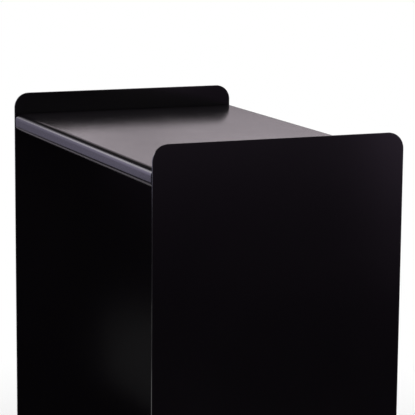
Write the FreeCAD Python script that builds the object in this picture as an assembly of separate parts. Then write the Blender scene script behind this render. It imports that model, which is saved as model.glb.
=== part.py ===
"""Hearth storage rack: two plain plate sides carry a folded top shelf and a folded base shelf.

The sides are flat steel plates with rounded corners and no fixings on their outer faces. Threaded
studs stand on their inner faces, pass through the shelves' end flanges and take a washer and a nut
each, so the rack comes apart into flat pieces. Each shelf is one sheet: a generous C-shaped fold
along its front, and plain flanges with tight bends along its rear and its two ends. Slip-on glides
keep the plate edges off the floor.

Units are millimetres. +Z is up, the open front faces -Y, left is -X as seen from the front, and
the origin is on the floor under the middle of the rack.
"""

import FreeCAD
import Part

import math
import os

from FreeCAD import Vector

# Overall sizes
rack_width = 600.0  # over the outer faces of the two side panels
rack_depth = 365.0  # front edge to rear edge of a side panel
rack_height = 700.0  # floor to the top edges of the side panels

# Side panels
panel_thickness = 3.0
panel_corner_radius = 23.0
panel_edge_break = 0.5  # softened plate edges under the paint

# Shelves
sheet_thickness = 2.0
top_recess = 32.0  # top shelf surface below the top edges of the panels
base_gap = 34.0  # underside of the base shelf's front fold above the bottom edges of the panels
fold_height = 28.0  # shelf surface to the underside of its front fold
fold_radius = 10.0  # outside radius of the front fold's two bends
return_depth = 22.0  # how far the return of the front fold runs back under the shelf
fold_end_gap = 3.0  # slit between the end of a fold and the side panel
flange_bend_radius = 4.0  # outside radius of the bends into the end and rear flanges
flange_rise = 4.0  # lower edges of the end and rear flanges above the underside of the front fold
corner_relief = 2.0  # notch between the front or rear bend and an end flange

# Studs, washers and nuts
studs_per_flange = 2
stud_margin = 70.0  # outer studs in from the front and rear edges
stud_diameter = 6.0
stud_point = 0.8  # chamfer at the tip of a stud
stud_past_nut = 3.4
stud_hole_clearance = 0.5  # flange hole around a stud
washer_diameter = 12.0
washer_thickness = 1.6
washer_clearance = 0.2  # washer bore around a stud
nut_across_flats = 10.0
nut_height = 5.0
nut_clearance = 0.1  # nut bore around a stud's thread crests

# Glides
glide_length = 60.0
glide_wall = 1.6
glide_height = 14.0  # floor to the top of a glide's walls
glide_sole = 3.0  # rubber under the panel's edge
glide_clearance = 0.1  # each side of the panel in a glide's slot
glide_margin = 12.0  # glide in from the end of a panel corner's rounding
glide_sole_radius = 1.2

# Derived places
half_depth = rack_depth / 2
panel_bottom = glide_sole
panel_inner_x = rack_width / 2 - panel_thickness
panel_middle_x = rack_width / 2 - panel_thickness / 2
fold_end_x = panel_inner_x - fold_end_gap
top_surface = rack_height - top_recess
base_surface = panel_bottom + base_gap + fold_height
flange_height = fold_height - flange_rise
end_flange_front = -half_depth + fold_radius + corner_relief
end_flange_rear = half_depth - flange_bend_radius - corner_relief
stud_drop = (flange_bend_radius + flange_height) / 2  # middle of the end flange's flat
stud_length = sheet_thickness + washer_thickness + nut_height + stud_past_nut
stud_pitch = (rack_depth - 2 * stud_margin) / (studs_per_flange - 1)
stud_rows = [stud_margin - half_depth + row * stud_pitch for row in range(studs_per_flange)]

SIDES = {"left": -1, "right": 1}
ENDS = {"front": -1, "rear": 1}
SHELVES = {"top": top_surface, "base": base_surface}
ORIGIN = Vector(0, 0, 0)
X_AXIS = Vector(1, 0, 0)
Y_AXIS = Vector(0, 1, 0)
Z_AXIS = Vector(0, 0, 1)
PARALLEL = 1e-6  # radians
FULL_TURN = 360  # degrees
HEXAGON_STEP = math.radians(60)


def edges_along(shape, axis):
    """Edges of a shape that set off along an axis."""
    return [edge for edge in shape.Edges
            if edge.tangentAt(edge.FirstParameter).isParallel(axis, PARALLEL)]


def rounded_line(corners, radii):
    """Edges of a line through the corners, with an arc of its own radius at each right angle."""
    edges = []
    start = corners[0]
    for before, corner, after, radius in zip(corners, corners[1:], corners[2:], radii):
        back = (before - corner).normalize() * radius
        ahead = (after - corner).normalize() * radius
        middle = corner + (back + ahead) * (1 - math.sqrt(0.5))
        edges.append(Part.LineSegment(start, corner + back).toShape())
        edges.append(Part.Arc(corner + back, middle, corner + ahead).toShape())
        start = corner + ahead
    edges.append(Part.LineSegment(start, corners[-1]).toShape())
    return edges


def sheet_section(corners, radii, axis):
    """Face of a sheet bent at right angles, all one way round the axis.

    The outer line runs through the corners with the outside bend radii. The inner line lies one
    sheet thickness inside it, so its bends share the outer bends' centres.
    """
    runs = [(after - before).normalize() for before, after in zip(corners, corners[1:])]
    inward = [axis.cross(run) * sheet_thickness for run in runs]
    inner = [corners[0] + inward[0]]
    inner += [corner + one + two for corner, one, two in zip(corners[1:], inward, inward[1:])]
    inner += [corners[-1] + inward[-1]]
    edges = rounded_line(corners, radii)
    edges += rounded_line(inner, [radius - sheet_thickness for radius in radii])
    edges.append(Part.LineSegment(inner[0], corners[0]).toShape())
    edges.append(Part.LineSegment(inner[-1], corners[-1]).toShape())
    return Part.Face(Part.Wire(Part.__sortEdges__(edges)))


def turned(profile):
    """Solid of revolution about the X axis through (x, radius) points."""
    points = [Vector(x, radius, 0) for x, radius in profile]
    face = Part.Face(Part.makePolygon(points + points[:1]))
    return face.revolve(ORIGIN, X_AXIS, FULL_TURN)


def against_panel(shape, side, y, z):
    """Places a shape that grows along +X so that it grows inwards from a panel's inner face."""
    placed = shape.copy()
    if side > 0:
        placed.rotate(ORIGIN, Z_AXIS, FULL_TURN / 2)
    placed.translate(Vector(side * panel_inner_x, y, z))
    return placed


def side_panel(side):
    """Flat plate with four rounded corners and softened edges, standing on its glides."""
    near_x = min(side * panel_inner_x, side * rack_width / 2)
    corner = Vector(near_x, -half_depth, panel_bottom)
    plate = Part.makeBox(panel_thickness, rack_depth, rack_height - panel_bottom, corner)
    plate = plate.makeFillet(panel_corner_radius, edges_along(plate, X_AXIS))
    across = edges_along(plate, X_AXIS)
    rims = [edge for edge in plate.Edges if not any(edge.isSame(other) for other in across)]
    return plate.makeChamfer(panel_edge_break, rims)


def folded_pan():
    """Shelf surface with its C-shaped front fold and its plain rear flange."""
    line = [
        (return_depth - half_depth, -fold_height),
        (-half_depth, -fold_height),
        (-half_depth, 0),
        (half_depth, 0),
        (half_depth, -flange_height),
    ]
    corners = [Vector(-fold_end_x, y, z) for y, z in line]
    section = sheet_section(corners, [fold_radius, fold_radius, flange_bend_radius], -X_AXIS)
    return section.extrude(X_AXIS * (2 * fold_end_x))


def end_space(side):
    """Room for an end bend, cleared from the pan between its two notches."""
    near_x = min(side * (panel_inner_x - flange_bend_radius), side * panel_inner_x)
    corner = Vector(near_x, end_flange_front, -sheet_thickness)
    length = end_flange_rear - end_flange_front
    return Part.makeBox(flange_bend_radius, length, sheet_thickness, corner)


def end_flange(side):
    """Shelf end turned down against a side panel, notched clear of the front and rear bends."""
    root = fold_end_x - flange_bend_radius
    line = [(root, 0), (panel_inner_x, 0), (panel_inner_x, -flange_height)]
    corners = [Vector(side * x, end_flange_front, z) for x, z in line]
    section = sheet_section(corners, [flange_bend_radius], Y_AXIS * side)
    return section.extrude(Y_AXIS * (end_flange_rear - end_flange_front))


def stud_holes(side):
    """Clearance holes for the studs of one end flange, through the sheet."""
    radius = stud_diameter / 2 + stud_hole_clearance
    drill = turned([(0, 0), (0, radius), (sheet_thickness, radius), (sheet_thickness, 0)])
    return [against_panel(drill, side, y, -stud_drop) for y in stud_rows]


def shelf(surface):
    """One bent sheet: the pan with its front fold and rear flange, two end flanges and holes."""
    sheet = folded_pan()
    for side in SIDES.values():
        sheet = sheet.cut(end_space(side)).fuse(end_flange(side))
    sheet = sheet.removeSplitter()
    for side in SIDES.values():
        sheet = sheet.cut(stud_holes(side))
    sheet.translate(Z_AXIS * surface)
    return sheet


def stud():
    """Stud welded to a panel's inner face, with a chamfered tip."""
    radius = stud_diameter / 2
    shoulder = stud_length - stud_point
    tip = radius - stud_point
    return turned([(0, 0), (0, radius), (shoulder, radius), (stud_length, tip), (stud_length, 0)])


def washer():
    """Flat washer seated on the inside of an end flange."""
    bore = stud_diameter / 2 + washer_clearance
    rim = washer_diameter / 2
    near = sheet_thickness
    far = sheet_thickness + washer_thickness
    return turned([(near, bore), (near, rim), (far, rim), (far, bore)])


def nut():
    """Hexagon nut seated on its washer."""
    seat = Vector(sheet_thickness + washer_thickness, 0, 0)
    corner = nut_across_flats / 2 / math.cos(HEXAGON_STEP / 2)
    turns = [HEXAGON_STEP * step for step in range(7)]
    hexagon = [seat + Vector(0, corner * math.cos(turn), corner * math.sin(turn)) for turn in turns]
    prism = Part.Face(Part.makePolygon(hexagon)).extrude(X_AXIS * nut_height)
    bore = Part.makeCylinder(stud_diameter / 2 + nut_clearance, nut_height, seat, X_AXIS)
    return prism.cut(bore)


def fastener_row(fastener, side, surface):
    """One fastener at every stud of an end flange."""
    return Part.makeCompound(
        [against_panel(fastener, side, y, surface - stud_drop) for y in stud_rows]
    )


def glide(side, end):
    """Rubber channel pushed onto a panel's bottom edge, with a rounded sole."""
    half_slot = panel_thickness / 2 + glide_clearance
    half_width = half_slot + glide_wall
    outer_end = half_depth - panel_corner_radius - glide_margin
    start = min(end * outer_end, end * (outer_end - glide_length))
    middle = side * panel_middle_x
    corner = Vector(middle - half_width, start, 0)
    block = Part.makeBox(2 * half_width, glide_length, glide_height, corner)
    sole = [edge for edge in edges_along(block, Y_AXIS) if edge.CenterOfMass.z < glide_sole]
    block = block.makeFillet(glide_sole_radius, sole)
    slot_corner = Vector(middle - half_slot, start, glide_sole)
    return block.cut(Part.makeBox(2 * half_slot, glide_length, glide_height, slot_corner))


def build():
    """Every piece of the rack under its node name."""
    pieces = {}
    fasteners = {"studs": stud(), "washers": washer(), "nuts": nut()}
    for side_name, side in SIDES.items():
        pieces[f"side_panel_{side_name}"] = side_panel(side)
        for end_name, end in ENDS.items():
            pieces[f"glide_{end_name}_{side_name}"] = glide(side, end)
    for shelf_name, surface in SHELVES.items():
        pieces[f"{shelf_name}_shelf"] = shelf(surface)
        for side_name, side in SIDES.items():
            for kind, fastener in fasteners.items():
                pieces[f"{shelf_name}_{kind}_{side_name}"] = fastener_row(fastener, side, surface)
    return pieces


os.makedirs("parts", exist_ok=True)
for node, shape in build().items():
    shape.exportStep(f"parts/{node}.step")
    size = shape.optimalBoundingBox()
    print(f"{node}: {len(shape.Solids)} solid(s), valid {shape.isValid()}, "
          f"{shape.Volume / 1000:.2f} cm3, {size.XLength:.1f} x {size.YLength:.1f} x {size.ZLength:.1f} mm")
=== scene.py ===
"""Looks of the hearth rack: two plate sides, two folded shelves, their fastenings and the glides.

Everything is in metres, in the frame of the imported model: +Z is up and the open front faces -Y.
Each piece is a surface worked out on a grid, and stands for one node of the frame.
"""

import math

import bmesh
import bpy
import numpy as np
from mathutils import Matrix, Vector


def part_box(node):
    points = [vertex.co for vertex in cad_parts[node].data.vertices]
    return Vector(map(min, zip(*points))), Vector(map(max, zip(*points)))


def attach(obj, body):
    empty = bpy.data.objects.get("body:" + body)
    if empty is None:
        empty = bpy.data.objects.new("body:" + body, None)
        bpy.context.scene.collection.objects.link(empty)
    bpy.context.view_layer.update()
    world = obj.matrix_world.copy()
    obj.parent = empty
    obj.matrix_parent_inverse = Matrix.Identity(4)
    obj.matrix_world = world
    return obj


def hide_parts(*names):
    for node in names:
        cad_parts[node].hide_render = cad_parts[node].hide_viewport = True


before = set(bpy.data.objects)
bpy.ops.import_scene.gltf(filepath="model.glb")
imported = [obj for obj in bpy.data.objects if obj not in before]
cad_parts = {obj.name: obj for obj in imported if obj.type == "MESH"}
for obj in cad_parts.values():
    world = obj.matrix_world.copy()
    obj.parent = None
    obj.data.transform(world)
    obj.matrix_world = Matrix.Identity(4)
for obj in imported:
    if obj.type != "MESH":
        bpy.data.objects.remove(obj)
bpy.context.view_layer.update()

SIDES = {"left": -1, "right": 1}  # direction of each side along X
SHELVES = ("top", "base")
ENDS = ("front", "rear")

# Shared by the pieces
MERGE_DISTANCE = 1e-6  # points nearer than this are one
ROUNDED_ANGLE = 60  # degrees: edges sharper than this are rounded
FLAT_FACE_WEIGHT = 100  # how far the larger face rules the shading at an edge; 50 is even

# Side panels
PANEL_CORNER = 0.023  # radius of a panel's four corners
PANEL_CORNER_STEPS = 24
PANEL_RIM = 0.00045  # rounding of the painted cut edge
PANEL_RIM_STEPS = 4
PANEL_FACE_BAND = 0.004  # flat band that keeps a panel's face flat up to its rim

# Folded shelves
SHEET = 0.002  # sheet thickness
SHEET_EDGE = 0.0003  # rounding of the painted sheet edges
SHEET_EDGE_STEPS = 2
FOLD_RADIUS = 0.010  # outside radius of the front fold's two bends
FOLD_STEPS = 24
FOLD_RETURN = 0.022  # how far the return of the front fold runs back
FOLD_END_GAP = 0.003  # slit between the end of a fold and a side panel
FLANGE_BEND = 0.004  # outside radius of the bends into the end and rear flanges
FLANGE_BEND_STEPS = 10
FLANGE_RISE = 0.004  # lower edges of the flanges above the underside of the fold
CORNER_RELIEF = 0.002  # notch between a front or rear bend and an end flange

# Stud holes in the end flanges
STUD_ROWS = (-0.1125, 0.1125)  # places of the studs along a flange
STUD_HOLE = 0.0035  # radius of a clearance hole
HOLE_CELL = 0.008  # half side of the square of flange around a hole
HOLE_CELL_STEPS = 8
HOLE_RINGS = 4

# Studs
STUD_RADIUS = 0.003
STUD_LENGTH = 0.012
STUD_POINT = 0.0008  # chamfer at the tip
STUD_TURN_STEPS = 48
THREAD_PITCH = 0.001
THREAD_DEPTH = 0.00058
THREAD_CREST = 0.2  # share of the pitch that the flat crest takes
THREAD_FLANKS = 0.65  # share of the pitch that the two flanks take
THREAD_RINGS = 14  # rings of the grid in one pitch
THREAD_FADE = 0.0012  # length over which the thread runs out at the weld

# Washers and nuts
RING_TURN_STEPS = 96
FASTENER_CREASE = 25  # degrees: sharper edges of studs, washers and nuts stay crisp
WASHER_BORE = 0.0032  # radius
WASHER_BORE_CHAMFER = 0.0002
WASHER_RIM = 0.006  # radius
WASHER_EDGE = 0.0003  # rounding of the rim's edges
WASHER_EDGE_STEPS = 4
WASHER_THICKNESS = 0.0016
NUT_BORE = 0.0031  # radius
NUT_BORE_CHAMFER = 0.0004
NUT_FLAT = 0.005  # half the size across flats
NUT_HEIGHT = 0.005
NUT_FACE = 0.00475  # radius of the round bearing face
NUT_CHAMFER_SLOPE = math.sqrt(3)  # 30 degree chamfer: radius gained for each unit of height
NUT_CHAMFER_REACH = 0.0007  # depth below a face that holds the whole chamfer
NUT_CHAMFER_ROWS = 15

# Glides
GLIDE_SOLE = 0.003  # thickness under the slot
GLIDE_SOLE_RADIUS = 0.0012
GLIDE_HALF_SLOT = 0.0016
GLIDE_LIP = 0.0006  # rounding of a wall's top
GLIDE_ROUND_STEPS = 5
GLIDE_END = 0.0005  # rounding of a glide's two ends
GLIDE_END_STEPS = 3

# Finishes: colours and roughness from one side of their noise to the other
NOISE_SPAN = (0.3, 0.7)  # most of a noise lies between these values
COAT_BLACKS = ((0.0042, 0.0033, 0.0046), (0.0054, 0.0043, 0.0058))
COAT_ROUGHNESS = (0.15, 0.175)
COAT_IOR = 1.2  # low, because the satin coat mirrors little where it is seen face on
ZINC_GREYS = ((0.56, 0.57, 0.58), (0.68, 0.685, 0.68))
ZINC_ROUGHNESS = (0.24, 0.4)
RUBBER_BLACKS = ((0.008, 0.008, 0.008), (0.013, 0.013, 0.012))
RUBBER_ROUGHNESS = (0.62, 0.8)

# Studio
WHITE = (1, 1, 1)
FLOOR_HALF = 40.0
FLOOR_GREY = (0.86, 0.86, 0.86)
FLOOR_ROUGHNESS = 0.9
FLOOR_FADE = (0.6, 1.3)  # distances between which the shaded floor turns plain white
FILL_STRENGTH = 0.5
HORIZON_FADE = (0.1, 0.2)  # upward part of a ray's direction where white ends and the ceiling starts
CEILING_GREY = (0.06, 0.06, 0.06)

# Camera, from the fit to the photograph's edges
CAMERA_PLACE = (2.6302, -1.0844, 1.0603)
CAMERA_AZIMUTH = 67.211  # degrees
CAMERA_ELEVATION = 10.025
CAMERA_ROLL = 0.476
FOCAL_PIXELS = 1963.3
IMAGE_PIXELS = 415
SENSOR = 36.0  # millimetres


def grid_quads(rows, columns, close_rows=False, close_columns=False):
    """Corner numbers of the quads of a grid whose points are counted row by row."""
    row = np.arange(rows if close_rows else rows - 1)
    column = np.arange(columns if close_columns else columns - 1)
    r, c = np.meshgrid(row, column, indexing="ij")
    r2 = (r + 1) % rows
    c2 = (c + 1) % columns
    quads = [r * columns + c, r * columns + c2, r2 * columns + c2, r2 * columns + c]
    return np.stack(quads, axis=-1).reshape(-1, 4)


def arc(centre, radius, start, stop, steps):
    """Points of a circle's arc: the centre plus the radius times (cosine, sine) of the angle."""
    angle = np.radians(np.linspace(start, stop, steps + 1))
    across = centre[0] + radius * np.cos(angle)
    along = centre[1] + radius * np.sin(angle)
    return np.stack([across, along], axis=1)


def join_shapes(shapes):
    """Several (points, faces) as one: each shape's corner numbers follow on from the last one's."""
    starts = np.cumsum([0] + [len(points) for points, faces in shapes])
    points = np.concatenate([points for points, faces in shapes])
    faces = [face + start for (_, group), start in zip(shapes, starts) for face in group]
    return points, faces


def outward(points, quads, quad, direction):
    """The quads, all turned round if the given one doesn't face the given direction."""
    a, b, c = points[quads[quad][:3]]
    facing = np.dot(np.cross(b - a, c - a), direction)
    return quads if facing > 0 else quads[:, ::-1]


def make_piece(name, node, shape, material, crease=None, closed=True):
    """Smooth mesh object at the origin, riding on the rack in place of its node.

    A closed surface is turned to face outwards; an open skin keeps the facing it was given.
    Where a crease angle is given, sharper edges break the smooth shading.
    """
    points, faces = shape
    mesh = bpy.data.meshes.new(name)
    mesh.from_pydata(points.tolist(), [], [face.tolist() for face in faces])
    builder = bmesh.new()
    builder.from_mesh(mesh)
    bmesh.ops.remove_doubles(builder, verts=builder.verts, dist=MERGE_DISTANCE)
    if closed:
        bmesh.ops.recalc_face_normals(builder, faces=builder.faces)
    builder.to_mesh(mesh)
    builder.free()
    mesh.polygons.foreach_set("use_smooth", np.ones(len(mesh.polygons), dtype=bool))
    if crease:
        mesh.set_sharp_from_angle(angle=math.radians(crease))
    mesh.materials.append(material)
    piece = bpy.data.objects.new(name, mesh)
    bpy.context.scene.collection.objects.link(piece)
    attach(piece, "root")
    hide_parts(node)
    return piece


def round_edges(piece, name, width, steps):
    """Rounds the piece's sharp edges over the given width."""
    rounding = piece.modifiers.new(name, "BEVEL")
    rounding.width = width
    rounding.segments = steps
    rounding.limit_method = "ANGLE"
    rounding.angle_limit = math.radians(ROUNDED_ANGLE)


def even_shading(piece):
    """Weights the normals by face area, so that flat faces stay flat up to their rounded edges."""
    weighted = piece.modifiers.new("flat_faces", "WEIGHTED_NORMAL")
    weighted.mode = "FACE_AREA"
    weighted.weight = FLAT_FACE_WEIGHT
    weighted.keep_sharp = True


def panel_surface(low, high):
    """Plate with rounded corners, as its rim section carried round its outline.

    A point of the outline at inset d is a corner's centre plus (corner radius - d) times
    (cosine, sine) of its angle. The section (inset, x) goes from one face over two quarter
    rounds to the other face, and a flat polygon closes each face.
    """
    inset_y = (high[1] - low[1]) / 2 - PANEL_CORNER
    inset_z = (high[2] - low[2]) / 2 - PANEL_CORNER
    centre_z = (high[2] + low[2]) / 2
    turn = np.linspace(0, np.pi / 2, PANEL_CORNER_STEPS + 1)
    quarter = np.arange(4)[:, None]
    angle = (quarter * np.pi / 2 + turn[None, :]).ravel()
    side_y = np.repeat(np.array([1, -1, -1, 1]), turn.size) * inset_y
    side_z = np.repeat(np.array([1, 1, -1, -1]), turn.size) * inset_z + centre_z
    first = arc((PANEL_RIM, low[0] + PANEL_RIM), PANEL_RIM, 270, 180, PANEL_RIM_STEPS)
    second = arc((PANEL_RIM, high[0] - PANEL_RIM), PANEL_RIM, 180, 90, PANEL_RIM_STEPS)
    band = [[PANEL_FACE_BAND, low[0]], [PANEL_FACE_BAND, high[0]]]
    section = np.concatenate([band[:1], first, second, band[1:]])
    radius = PANEL_CORNER - section[:, :1]
    x = np.broadcast_to(section[:, 1:], (len(section), angle.size))
    y = side_y + radius * np.cos(angle)
    z = side_z + radius * np.sin(angle)
    points = np.stack([x, y, z], axis=-1).reshape(-1, 3)
    quads = grid_quads(len(section), angle.size, close_columns=True)
    ring = np.arange(angle.size)
    caps = [ring[::-1], ring + (len(section) - 1) * angle.size]
    return points, [*quads, *caps]


def fold_line(front, rear, drop, flange_drop, places):
    """Outer line of a shelf from the end of its front return over the top to its rear flange.

    Straight runs and quarter circles in (y, z), with z counted from the shelf surface; the top
    run has a point at each of the given places along the end flanges.
    """
    lower = arc((front + FOLD_RADIUS, FOLD_RADIUS - drop), FOLD_RADIUS, 270, 180, FOLD_STEPS)
    upper = arc((front + FOLD_RADIUS, -FOLD_RADIUS), FOLD_RADIUS, 180, 90, FOLD_STEPS)
    top = np.stack([places, np.zeros_like(places)], axis=1)
    back = arc((rear - FLANGE_BEND, -FLANGE_BEND), FLANGE_BEND, 90, 0, FLANGE_BEND_STEPS)
    ends = np.array([[front + FOLD_RETURN, -drop], [rear, -flange_drop]])
    return np.concatenate([ends[:1], lower, upper, top, back, ends[1:]])


def flange_places(front, rear):
    """Places along an end flange: its two ends, and even steps across each stud's square."""
    steps = np.linspace(-HOLE_CELL, HOLE_CELL, HOLE_CELL_STEPS + 1)
    return np.concatenate([[front], *[row + steps for row in STUD_ROWS], [rear]])


def stud_height(low, high):
    """Height of a shelf's studs: the middle of the flat part of its end flanges."""
    return (low[2] + FLANGE_RISE + high[2] - FLANGE_BEND) / 2


def hole_patch(x, y, z):
    """Flange round a stud's hole: points on straight lines from the circle to the square."""
    steps = np.linspace(-HOLE_CELL, HOLE_CELL, HOLE_CELL_STEPS + 1)[:-1]
    edge = np.full_like(steps, HOLE_CELL)
    square = np.concatenate([
        np.stack([edge, steps], axis=1),
        np.stack([-steps, edge], axis=1),
        np.stack([-edge, -steps], axis=1),
        np.stack([steps, -edge], axis=1),
    ])
    circle = STUD_HOLE * square / np.linalg.norm(square, axis=1, keepdims=True)
    reach = np.linspace(0, 1, HOLE_RINGS + 1)[:, None, None]
    flat = circle + (square - circle) * reach
    points = np.stack([np.full(flat.shape[:2], x), y + flat[..., 0], z + flat[..., 1]], axis=-1)
    return points.reshape(-1, 3), grid_quads(HOLE_RINGS + 1, len(square), close_columns=True)


def end_flange(side, panel_x, drop, hole_z, places):
    """Bend and flange at one end of a shelf: a quarter circle in (x, z), then a straight drop.

    The line is carried along the places. The squares round the stud holes are left out of the
    grid and filled by patches of their own.
    """
    cell = np.linspace(HOLE_CELL, -HOLE_CELL, HOLE_CELL_STEPS + 1) + hole_z
    bend = arc((panel_x - FLANGE_BEND, -FLANGE_BEND), FLANGE_BEND, 90, 0, FLANGE_BEND_STEPS)
    flat = np.stack([np.full_like(cell, panel_x), cell], axis=1)
    line = np.concatenate([bend, flat, [[panel_x, -drop]]])
    x = np.broadcast_to(side * line[:, :1], (len(line), places.size))
    y = np.broadcast_to(places, x.shape)
    z = np.broadcast_to(line[:, 1:], x.shape)
    points = np.stack([x, y, z], axis=-1).reshape(-1, 3)
    quads = grid_quads(len(line), places.size)
    quads = outward(points, quads, len(quads) - 1, np.array([side, 0, 0]))
    middle = points[quads].mean(axis=1)
    in_square = np.zeros(len(quads), dtype=bool)
    for row in STUD_ROWS:
        across = np.maximum(np.abs(middle[:, 1] - row), np.abs(middle[:, 2] - hole_z))
        in_square |= (across < HOLE_CELL) & (middle[:, 2] < -FLANGE_BEND)
    patches = [(points, quads[~in_square])]
    for row in STUD_ROWS:
        ring, ring_quads = hole_patch(side * panel_x, row, hole_z)
        patches.append((ring, outward(ring, ring_quads, 0, np.array([side, 0, 0]))))
    return patches


def shelf_surface(low, high):
    """Outer skin of a folded shelf, later given its thickness inwards.

    The fold line is carried straight along X as the pan. Where an end flange turns down, the
    last column of the pan gives way to the flange's bend.
    """
    panel_x = high[0]
    bend_x = panel_x - FLANGE_BEND
    fold_x = panel_x - FOLD_END_GAP
    drop = high[2] - low[2]
    flange_drop = drop - FLANGE_RISE
    hole_z = stud_height(low, high) - high[2]
    front = low[1] + FOLD_RADIUS + CORNER_RELIEF
    rear = high[1] - FLANGE_BEND - CORNER_RELIEF
    places = flange_places(front, rear)
    line = fold_line(low[1], high[1], drop, flange_drop, places)
    columns = np.array([-fold_x, -bend_x, bend_x, fold_x])
    x = np.broadcast_to(columns, (len(line), columns.size))
    y = np.broadcast_to(line[:, :1], x.shape)
    z = np.broadcast_to(line[:, 1:], x.shape)
    points = np.stack([x, y, z], axis=-1).reshape(-1, 3)
    quads = grid_quads(len(line), columns.size)
    middle = points[quads].mean(axis=1)
    on_top = (middle[:, 2] > -SHEET) & (middle[:, 1] > front) & (middle[:, 1] < rear)
    top_quad = int(np.flatnonzero(on_top)[0])
    quads = outward(points, quads, top_quad, np.array([0, 0, 1]))
    pan = quads[~(on_top & (np.abs(middle[:, 0]) > bend_x))]
    patches = [(points, pan)]
    for side in SIDES.values():
        patches += end_flange(side, panel_x, flange_drop, hole_z, places)
    points, faces = join_shapes(patches)
    return points + np.array([0, 0, high[2]]), faces


def stud_surface(side, panel_x, y, z):
    """Threaded stud: the radius is a wave of (distance / pitch - angle / turn), on a fine grid.

    The wave has flat crests and roots and straight flanks. It fades out at the weld, and the
    tip's chamfer trims it.
    """
    rings = int(round(STUD_LENGTH / THREAD_PITCH * THREAD_RINGS)) + 1
    away = np.linspace(0, STUD_LENGTH, rings)[:, None]
    angle = np.linspace(0, 2 * np.pi, STUD_TURN_STEPS, endpoint=False)[None, :]
    phase = np.mod(away / THREAD_PITCH - angle / (2 * np.pi), 1)
    from_crest = np.abs(phase - 0.5) * 2
    flank = np.clip((from_crest - THREAD_CREST) / THREAD_FLANKS, 0, 1)
    fade_in = np.clip(away / THREAD_FADE, 0, 1)
    radius = STUD_RADIUS - THREAD_DEPTH * flank * fade_in
    tip = STUD_RADIUS - np.clip(away - (STUD_LENGTH - STUD_POINT), 0, None)
    radius = np.minimum(radius, tip)
    x = np.broadcast_to(side * (panel_x - away), radius.shape)
    points = np.stack([x, y + radius * np.cos(angle), z + radius * np.sin(angle)], axis=-1)
    quads = grid_quads(rings, STUD_TURN_STEPS, close_columns=True)
    ring = np.arange(STUD_TURN_STEPS)
    caps = [ring[::-1], ring + (rings - 1) * STUD_TURN_STEPS]
    return points.reshape(-1, 3), [*quads, *caps]


def turned_ring(section, side, panel_x, y, z, radius_at=None):
    """Closed section (distance from the panel, radius) carried once round a stud's axis.

    radius_at, if given, trims the radius by a function of distance and angle.
    """
    angle = np.linspace(0, 2 * np.pi, RING_TURN_STEPS, endpoint=False)
    away = np.broadcast_to(section[:, :1], (len(section), angle.size))
    radius = np.broadcast_to(section[:, 1:], away.shape)
    if radius_at:
        radius = radius_at(away, angle, radius)
    x = side * (panel_x - away)
    points = np.stack([x, y + radius * np.cos(angle), z + radius * np.sin(angle)], axis=-1)
    quads = grid_quads(len(section), angle.size, close_rows=True, close_columns=True)
    return points.reshape(-1, 3), quads


def bore_section(near, far, radius, chamfer):
    """Line of a chamfered bore from its far face to its near one: (distance, radius) points."""
    wide = radius + chamfer
    return np.array([[far, wide], [far - chamfer, radius], [near + chamfer, radius], [near, wide]])


def washer_surface(side, panel_x, y, z):
    """Flat washer on the flange: a section of rounded rim, two faces and bore, turned."""
    near = SHEET
    far = near + WASHER_THICKNESS
    rim = WASHER_RIM - WASHER_EDGE
    first = arc((near + WASHER_EDGE, rim), WASHER_EDGE, 180, 90, WASHER_EDGE_STEPS)
    second = arc((far - WASHER_EDGE, rim), WASHER_EDGE, 90, 0, WASHER_EDGE_STEPS)
    bore = bore_section(near, far, WASHER_BORE, WASHER_BORE_CHAMFER)
    return turned_ring(np.concatenate([first, second, bore]), side, panel_x, y, z)


def nut_radius(away, angle, radius):
    """Hexagon cut by the cones of its two chamfers: the lesser of the two radii; bore as given.

    The hexagon's radius is its half flat over the cosine of the angle from the flat's middle.
    """
    sixth = np.pi / 3
    hexagon = NUT_FLAT / np.cos(np.mod(angle, sixth) - sixth / 2)
    near = SHEET + WASHER_THICKNESS
    from_face = np.minimum(away - near, near + NUT_HEIGHT - away)
    cone = NUT_FACE + np.maximum(from_face, 0) * NUT_CHAMFER_SLOPE
    return np.where(radius < NUT_FACE, radius, np.minimum(hexagon, cone))


def nut_surface(side, panel_x, y, z):
    """Hexagon nut on the washer: a section with close rows over the chamfers and a bore, turned."""
    near = SHEET + WASHER_THICKNESS
    far = near + NUT_HEIGHT
    chamfer = np.linspace(0, NUT_CHAMFER_REACH, NUT_CHAMFER_ROWS)
    rows = np.concatenate([near + chamfer, far - chamfer[::-1]])
    outside = np.stack([rows, np.full_like(rows, NUT_FACE)], axis=1)
    bore = bore_section(near, far, NUT_BORE, NUT_BORE_CHAMFER)
    return turned_ring(np.concatenate([outside, bore]), side, panel_x, y, z, nut_radius)


def glide_surface(low, high):
    """Rubber channel: a U section with rounded sole and lips carried along Y, with flat ends."""
    middle = (low[0] + high[0]) / 2
    half = (high[0] - low[0]) / 2
    top = high[2]
    lip = min(GLIDE_LIP, (half - GLIDE_HALF_SLOT) / 2)
    sole = GLIDE_SOLE_RADIUS
    right = np.concatenate([
        arc((half - sole, sole), sole, 270, 360, GLIDE_ROUND_STEPS),
        arc((half - lip, top - lip), lip, 0, 90, GLIDE_ROUND_STEPS),
        arc((GLIDE_HALF_SLOT + lip, top - lip), lip, 90, 180, GLIDE_ROUND_STEPS),
        [[GLIDE_HALF_SLOT, GLIDE_SOLE]],
    ])
    left = right[::-1] * np.array([-1, 1])
    section = np.concatenate([right, left])
    ends = np.array([low[1], high[1]])
    x = np.broadcast_to(middle + section[:, 0], (ends.size, len(section)))
    y = np.broadcast_to(ends[:, None], x.shape)
    z = np.broadcast_to(section[:, 1], x.shape)
    points = np.stack([x, y, z], axis=-1).reshape(-1, 3)
    quads = grid_quads(ends.size, len(section), close_columns=True)
    ring = np.arange(len(section))
    return points, [*quads, ring[::-1], ring + len(section)]


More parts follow.
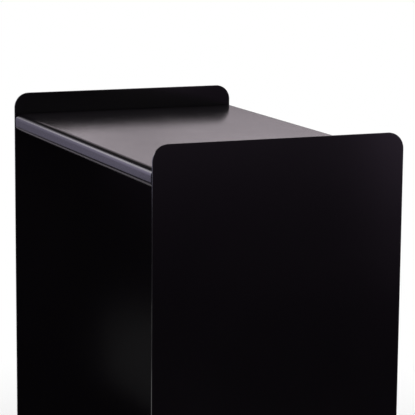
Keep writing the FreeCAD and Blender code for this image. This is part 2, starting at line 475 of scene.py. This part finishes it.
def new_material(name):
    """Node material: itself, its tree, its principled shader and the piece's Object coordinates."""
    material = bpy.data.materials.new(name)
    material.use_nodes = True
    tree = material.node_tree
    shader = tree.nodes["Principled BSDF"]
    place = tree.nodes.new("ShaderNodeTexCoord")
    return material, tree, shader, place.outputs["Object"]


def noise(tree, place, scale, detail, roughness=0.5):
    """Noise of so many cells to the metre on the piece's own coordinates."""
    node = tree.nodes.new("ShaderNodeTexNoise")
    node.inputs["Scale"].default_value = scale
    node.inputs["Detail"].default_value = detail
    node.inputs["Roughness"].default_value = roughness
    tree.links.new(place, node.inputs["Vector"])
    return node.outputs["Fac"]


def remap(tree, value, span, source=NOISE_SPAN):
    """A value spread evenly from the source range over the given span, and held at its ends."""
    node = tree.nodes.new("ShaderNodeMapRange")
    node.inputs["From Min"].default_value = source[0]
    node.inputs["From Max"].default_value = source[1]
    node.inputs["To Min"].default_value = span[0]
    node.inputs["To Max"].default_value = span[1]
    tree.links.new(value, node.inputs["Value"])
    return node.outputs["Result"]


def blend_colours(tree, value, stops):
    """Colour ramp over a value, from (position, colour) stops."""
    first, *between, last = stops
    node = tree.nodes.new("ShaderNodeValToRGB")
    ramp = node.color_ramp
    for element, (position, colour) in zip(ramp.elements, (first, last)):
        element.position = position
        element.color = (*colour, 1)
    for position, colour in between:
        ramp.elements.new(position).color = (*colour, 1)
    tree.links.new(value, node.inputs["Fac"])
    return node.outputs["Color"]


def bump(tree, height, strength, distance, below=None):
    """Bump of a height value, on top of another bump if one is given."""
    node = tree.nodes.new("ShaderNodeBump")
    node.inputs["Strength"].default_value = strength
    node.inputs["Distance"].default_value = distance
    tree.links.new(height, node.inputs["Height"])
    if below is not None:
        tree.links.new(below, node.inputs["Normal"])
    return node.outputs["Normal"]


def powder_coat():
    """Satin black powder coat: fine orange peel, slow waves of the sheet, uneven gloss."""
    material, tree, shader, place = new_material("satin_black_powder_coat")
    tone = noise(tree, place, scale=5, detail=3)
    gloss = noise(tree, place, scale=14, detail=4, roughness=0.6)
    peel = noise(tree, place, scale=420, detail=2)
    wave = noise(tree, place, scale=6, detail=1)
    colour = blend_colours(tree, tone, zip(NOISE_SPAN, COAT_BLACKS))
    waves = bump(tree, wave, strength=0.1, distance=0.0004)
    relief = bump(tree, peel, strength=0.5, distance=0.0001, below=waves)
    tree.links.new(colour, shader.inputs["Base Color"])
    tree.links.new(remap(tree, gloss, COAT_ROUGHNESS), shader.inputs["Roughness"])
    tree.links.new(relief, shader.inputs["Normal"])
    shader.inputs["IOR"].default_value = COAT_IOR
    return material


def zinc_plate():
    """Bright zinc plate: pale blue-grey metal with cloudy gloss and fine tool marks."""
    material, tree, shader, place = new_material("bright_zinc_plate")
    cloud = noise(tree, place, scale=260, detail=3)
    grain = noise(tree, place, scale=2600, detail=2)
    colour = blend_colours(tree, cloud, zip(NOISE_SPAN, ZINC_GREYS))
    tree.links.new(colour, shader.inputs["Base Color"])
    tree.links.new(remap(tree, cloud, ZINC_ROUGHNESS), shader.inputs["Roughness"])
    tree.links.new(bump(tree, grain, strength=0.15, distance=0.00004), shader.inputs["Normal"])
    shader.inputs["Metallic"].default_value = 1
    return material


def rubber():
    """Matt black rubber: dull, faintly mottled, with a fine moulded grain."""
    material, tree, shader, place = new_material("matt_black_rubber")
    mottle = noise(tree, place, scale=120, detail=3)
    grain = noise(tree, place, scale=1800, detail=2)
    colour = blend_colours(tree, mottle, zip(NOISE_SPAN, RUBBER_BLACKS))
    tree.links.new(colour, shader.inputs["Base Color"])
    tree.links.new(remap(tree, mottle, RUBBER_ROUGHNESS), shader.inputs["Roughness"])
    tree.links.new(bump(tree, grain, strength=0.3, distance=0.00008), shader.inputs["Normal"])
    return material


def add_panel(side_name, coat):
    """One plate side."""
    node = f"side_panel_{side_name}"
    shape = panel_surface(*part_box(node))
    panel = make_piece(f"panel_{side_name}", node, shape, coat)
    even_shading(panel)


def add_shelf(shelf_name, coat):
    """One folded shelf: its skin, thickened inwards to the sheet, with rounded cut edges."""
    node = f"{shelf_name}_shelf"
    shape = shelf_surface(*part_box(node))
    shelf = make_piece(f"folded_{node}", node, shape, coat, closed=False)
    wall = shelf.modifiers.new("sheet", "SOLIDIFY")
    wall.thickness = SHEET
    wall.offset = -1  # the whole thickness lies inside the skin
    wall.use_even_offset = True
    wall.use_quality_normals = True
    round_edges(shelf, "painted_edges", SHEET_EDGE, SHEET_EDGE_STEPS)
    even_shading(shelf)


def add_fasteners(shelf_name, side_name, zinc):
    """Studs, washers and nuts at one end of a shelf, with one piece for each kind."""
    low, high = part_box(f"{shelf_name}_shelf")
    side = SIDES[side_name]
    panel_x = high[0]
    z = stud_height(low, high)
    kinds = {"studs": stud_surface, "washers": washer_surface, "nuts": nut_surface}
    for kind, surface in kinds.items():
        node = f"{shelf_name}_{kind}_{side_name}"
        shape = join_shapes([surface(side, panel_x, row, z) for row in STUD_ROWS])
        make_piece(f"plated_{node}", node, shape, zinc, FASTENER_CREASE)


def add_glide(end_name, side_name, black_rubber):
    """One slip-on glide, with rounded ends."""
    node = f"glide_{end_name}_{side_name}"
    shape = glide_surface(*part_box(node))
    glide = make_piece(f"rubber_{node}", node, shape, black_rubber)
    round_edges(glide, "rounded_ends", GLIDE_END, GLIDE_END_STEPS)
    even_shading(glide)


def add_rack():
    """All pieces of the rack, each with its finish."""
    coat = powder_coat()
    zinc = zinc_plate()
    black_rubber = rubber()
    for side_name in SIDES:
        add_panel(side_name, coat)
    for shelf_name in SHELVES:
        add_shelf(shelf_name, coat)
        for side_name in SIDES:
            add_fasteners(shelf_name, side_name, zinc)
    for end_name in ENDS:
        for side_name in SIDES:
            add_glide(end_name, side_name, black_rubber)


def calculate(tree, operation, first, second):
    """Result of an operation on two values."""
    node = tree.nodes.new("ShaderNodeMath")
    node.operation = operation
    tree.links.new(first, node.inputs[0])
    tree.links.new(second, node.inputs[1])
    return node.outputs["Value"]


def seen_rays(tree):
    """One where a camera, glossy or transmission ray looks, nought for the light itself."""
    rays = tree.nodes.new("ShaderNodeLightPath").outputs
    seen_or_mirrored = calculate(tree, "MAXIMUM", rays["Is Camera Ray"], rays["Is Glossy Ray"])
    return calculate(tree, "MAXIMUM", seen_or_mirrored, rays["Is Transmission Ray"])


def mix_shaders(tree, share, first, second, output):
    """Gives the output the first shader, and the second one by the given share."""
    mix = tree.nodes.new("ShaderNodeMixShader")
    tree.links.new(share, mix.inputs["Fac"])
    tree.links.new(first, mix.inputs[1])
    tree.links.new(second, mix.inputs[2])
    tree.links.new(mix.outputs["Shader"], output)


def stage_sheet(name, corners, material):
    """Flat four-cornered sheet of the studio, which isn't part of the rack."""
    mesh = bpy.data.meshes.new(name)
    mesh.from_pydata(np.asarray(corners).tolist(), [], [(0, 1, 2, 3)])
    mesh.materials.append(material)
    sheet = bpy.data.objects.new(name, mesh)
    bpy.context.scene.collection.objects.link(sheet)
    return sheet


def studio_floor():
    """Pale floor: lit and shaded near the rack, plain white further out."""
    material, tree, shader, place = new_material("pale_floor")
    shader.inputs["Base Color"].default_value = (*FLOOR_GREY, 1)
    shader.inputs["Roughness"].default_value = FLOOR_ROUGHNESS
    shader.inputs["Specular IOR Level"].default_value = 0.0
    distance = tree.nodes.new("ShaderNodeVectorMath")
    distance.operation = "LENGTH"
    tree.links.new(place, distance.inputs[0])
    far = remap(tree, distance.outputs["Value"], (0, 1), FLOOR_FADE)
    share = calculate(tree, "MULTIPLY", far, seen_rays(tree))
    white = tree.nodes.new("ShaderNodeEmission")
    white.inputs["Color"].default_value = (*WHITE, 1)
    white.inputs["Strength"].default_value = 1.0
    output = tree.nodes["Material Output"].inputs["Surface"]
    mix_shaders(tree, share, shader.outputs["BSDF"], white.outputs["Emission"], output)
    half = FLOOR_HALF
    corners = [(-half, -half, 0), (half, -half, 0), (half, half, 0), (-half, half, 0)]
    stage_sheet("floor", corners, material)


def studio_world():
    """Even fill light, with a white band along the horizon and a dim ceiling in what is seen."""
    world = bpy.data.worlds.new("studio")
    world.use_nodes = True
    tree = world.node_tree
    fill = tree.nodes["Background"]
    fill.inputs["Color"].default_value = (*WHITE, 1)
    fill.inputs["Strength"].default_value = FILL_STRENGTH
    place = tree.nodes.new("ShaderNodeTexCoord")
    split = tree.nodes.new("ShaderNodeSeparateXYZ")
    tree.links.new(place.outputs["Generated"], split.inputs["Vector"])
    white_end, ceiling_start = HORIZON_FADE
    band = blend_colours(tree, split.outputs["Z"], [
        (0.0, WHITE), (white_end, WHITE), (ceiling_start, CEILING_GREY), (1.0, CEILING_GREY)
    ])
    backdrop = tree.nodes.new("ShaderNodeBackground")
    tree.links.new(band, backdrop.inputs["Color"])
    backdrop.inputs["Strength"].default_value = 1.0
    output = tree.nodes["World Output"].inputs["Surface"]
    shaders = (fill.outputs["Background"], backdrop.outputs["Background"])
    mix_shaders(tree, seen_rays(tree), *shaders, output)
    bpy.context.scene.world = world


def softbox(name, place, target, width, height, power):
    """Rectangular lamp at a place, turned towards a target, and not seen itself."""
    light = bpy.data.lights.new(name, "AREA")
    light.shape = "RECTANGLE"
    light.size = width
    light.size_y = height
    light.energy = power
    lamp = bpy.data.objects.new(name, light)
    bpy.context.scene.collection.objects.link(lamp)
    lamp.location = place
    aim = np.array(target) - np.array(place)
    aim = aim / np.linalg.norm(aim)
    right = np.cross(aim, [0, 0, 1])
    right = right / np.linalg.norm(right)
    up = np.cross(right, aim)
    lamp.rotation_euler = Matrix((right, up, -aim)).transposed().to_euler()
    lamp.visible_camera = False


def fade(tree, place, direction, stops):
    """Brightness along a direction: straight between (place in metres, brightness) stops."""
    along = tree.nodes.new("ShaderNodeVectorMath")
    along.operation = "DOT_PRODUCT"
    along.inputs[1].default_value = direction
    tree.links.new(place, along.inputs[0])
    first, last = stops[0][0], stops[-1][0]
    share = remap(tree, along.outputs["Value"], (0, 1), (first, last))
    greys = [((at - first) / (last - first), (tone, tone, tone)) for at, tone in stops]
    return blend_colours(tree, share, greys)


def mirrored_card(name, corners, tint, fades):
    """Card that only the rack's gloss mirrors, and that gives no other light.

    Its brightness is the product of its two fades, each along a direction of its own.
    """
    material, tree, shader, place = new_material(name)
    tree.nodes.remove(shader)
    brightness = [fade(tree, place, direction, stops) for direction, stops in fades]
    glow = tree.nodes.new("ShaderNodeEmission")
    glow.inputs["Color"].default_value = (*tint, 1)
    tree.links.new(calculate(tree, "MULTIPLY", *brightness), glow.inputs["Strength"])
    tree.links.new(glow.outputs["Emission"], tree.nodes["Material Output"].inputs["Surface"])
    card = stage_sheet(name, corners, material)
    card.visible_camera = False
    card.visible_diffuse = False
    card.visible_shadow = False


def standing_card(name, foot, width, tint, upward, sideways):
    """Upright card facing the rack: its foot's middle, less and plus half its width to the side.

    It is as high as its last upward stop. Sideways stops grow towards the card's own left.
    """
    foot = np.array(foot, dtype=float)
    facing = -foot / np.linalg.norm(foot)
    side = np.array([-facing[1], facing[0], 0])
    top = np.array([0, 0, upward[-1][0]])
    ends = [foot - side * width / 2, foot + side * width / 2]
    corners = [ends[0], ends[1], ends[1] + top, ends[0] + top]
    mirrored_card(name, corners, tint, [((0, 0, 1), upward), (side, sideways)])


def lying_card(name, height, tint, crosswise, lengthwise):
    """Card level with the floor, from the first to the last of its stops along X and along Y."""
    left, right = crosswise[0][0], crosswise[-1][0]
    front, rear = lengthwise[0][0], lengthwise[-1][0]
    outline = [(left, front), (right, front), (right, rear), (left, rear)]
    corners = [(x, y, height) for x, y in outline]
    mirrored_card(name, corners, tint, [((1, 0, 0), crosswise), ((0, 1, 0), lengthwise)])


def studio_cards():
    """Cards that light the coat's gloss, with listed brightness stops."""
    # Mirrored by the top of the shelf: pale above a sharp edge, dark below it
    standing_card(
        "back_card",
        foot=(-3.4, 2.2, 0),
        width=4.4,
        tint=(0.92, 0.82, 0.885),
        upward=[
            (0.0, 0.1), (1.1, 0.15), (1.22, 1.28), (1.3, 1.26), (1.45, 1.1), (1.7, 1.12), (2.7, 1.2),
        ],
        sideways=[
            (-2.2, 0.55), (-1.9, 0.55), (-1.55, 0.5), (-1.44, 0.6), (-1.34, 1.06), (-1.17, 1.06),
            (-1.06, 0.92), (-0.92, 0.87), (-0.85, 0.95), (-0.75, 1.03), (-0.5, 1.05), (2.2, 1.06),
        ],
    )
    # Mirrored as the bright line along the upper bend of the front fold
    standing_card(
        "strip_card",
        foot=(-2.66, -1.55, 0),
        width=2.4,
        tint=(0.97, 0.92, 1.03),
        upward=[
            (0.0, 0.3), (0.75, 1.7), (1.0, 3.2), (1.25, 4.9), (1.52, 5.4), (1.68, 2.0), (1.8, 0.1),
        ],
        sideways=[
            (-1.2, 1.0), (0.45, 1.0), (0.58, 0.88), (0.66, 0.6), (0.74, 0.3), (0.9, 0.2), (1.2, 0.08),
        ],
    )
    # Mirrored by the face of the front fold
    standing_card(
        "front_card",
        foot=(-1.70, -0.90, 0),
        width=0.84,
        tint=(0.76, 0.70, 0.97),
        upward=[
            (0.0, 0.03), (0.24, 0.03), (0.33, 0.9), (0.4, 0.98), (0.5, 1.14), (0.75, 1.55), (0.92, 1.9),
        ],
        sideways=[
            (-0.1, 1.95), (-0.03, 1.77), (0.04, 1.35), (0.13, 0.94), (0.21, 0.93), (0.26, 0.7),
            (0.4, 0.62),
        ],
    )
    # Mirrored by the outer face of the right panel, which pales towards its upper rear corner
    standing_card(
        "side_card",
        foot=(1.05, 0.33, 0),
        width=1.5,
        tint=(0.88, 0.66, 0.96),
        upward=[
            (0.0, 0.0), (0.16, 0.0), (0.3, 0.1), (0.44, 0.42), (0.52, 0.77), (0.6, 1.5), (0.66, 1.7),
        ],
        sideways=[
            (-0.4, 0.45), (-0.3, 0.65), (-0.26, 2.5), (-0.21, 1.65), (-0.17, 0.85), (-0.13, 0.52),
            (-0.09, 0.46), (0.1, 0.44), (0.21, 0.52),
        ],
    )
    # Mirrored as the thin line along the lower bend of the front fold
    lying_card(
        "floor_card",
        height=0.002,
        tint=(0.96, 0.88, 1.0),
        crosswise=[(-3.0, 1.0), (-1.1, 1.0)],
        lengthwise=[
            (-0.9, 0.0), (-0.7, 0.0), (-0.64, 0.62), (-0.4, 0.58), (-0.2, 0.24), (0.0, 0.06), (0.3, 0.03),
        ],
    )


def photo_camera():
    """Camera at the fitted place: turned by its roll, tipped by its elevation, swung round."""
    data = bpy.data.cameras.new("camera")
    data.sensor_width = SENSOR
    data.lens = FOCAL_PIXELS / IMAGE_PIXELS * SENSOR
    camera = bpy.data.objects.new("camera", data)
    bpy.context.scene.collection.objects.link(camera)
    swing = Matrix.Rotation(math.radians(CAMERA_AZIMUTH), 3, "Z")
    tip = Matrix.Rotation(math.radians(90 - CAMERA_ELEVATION), 3, "X")
    roll = Matrix.Rotation(math.radians(CAMERA_ROLL), 3, "Z")
    camera.rotation_euler = (swing @ tip @ roll).to_euler()
    camera.location = CAMERA_PLACE
    bpy.context.scene.camera = camera


add_rack()
studio_floor()
studio_world()
softbox("key", place=(-1.7, 1.0, 3.2), target=(0, 0, 0.3), width=2.4, height=2.4, power=75)
studio_cards()
photo_camera()
bpy.context.scene.view_settings.view_transform = "Standard"
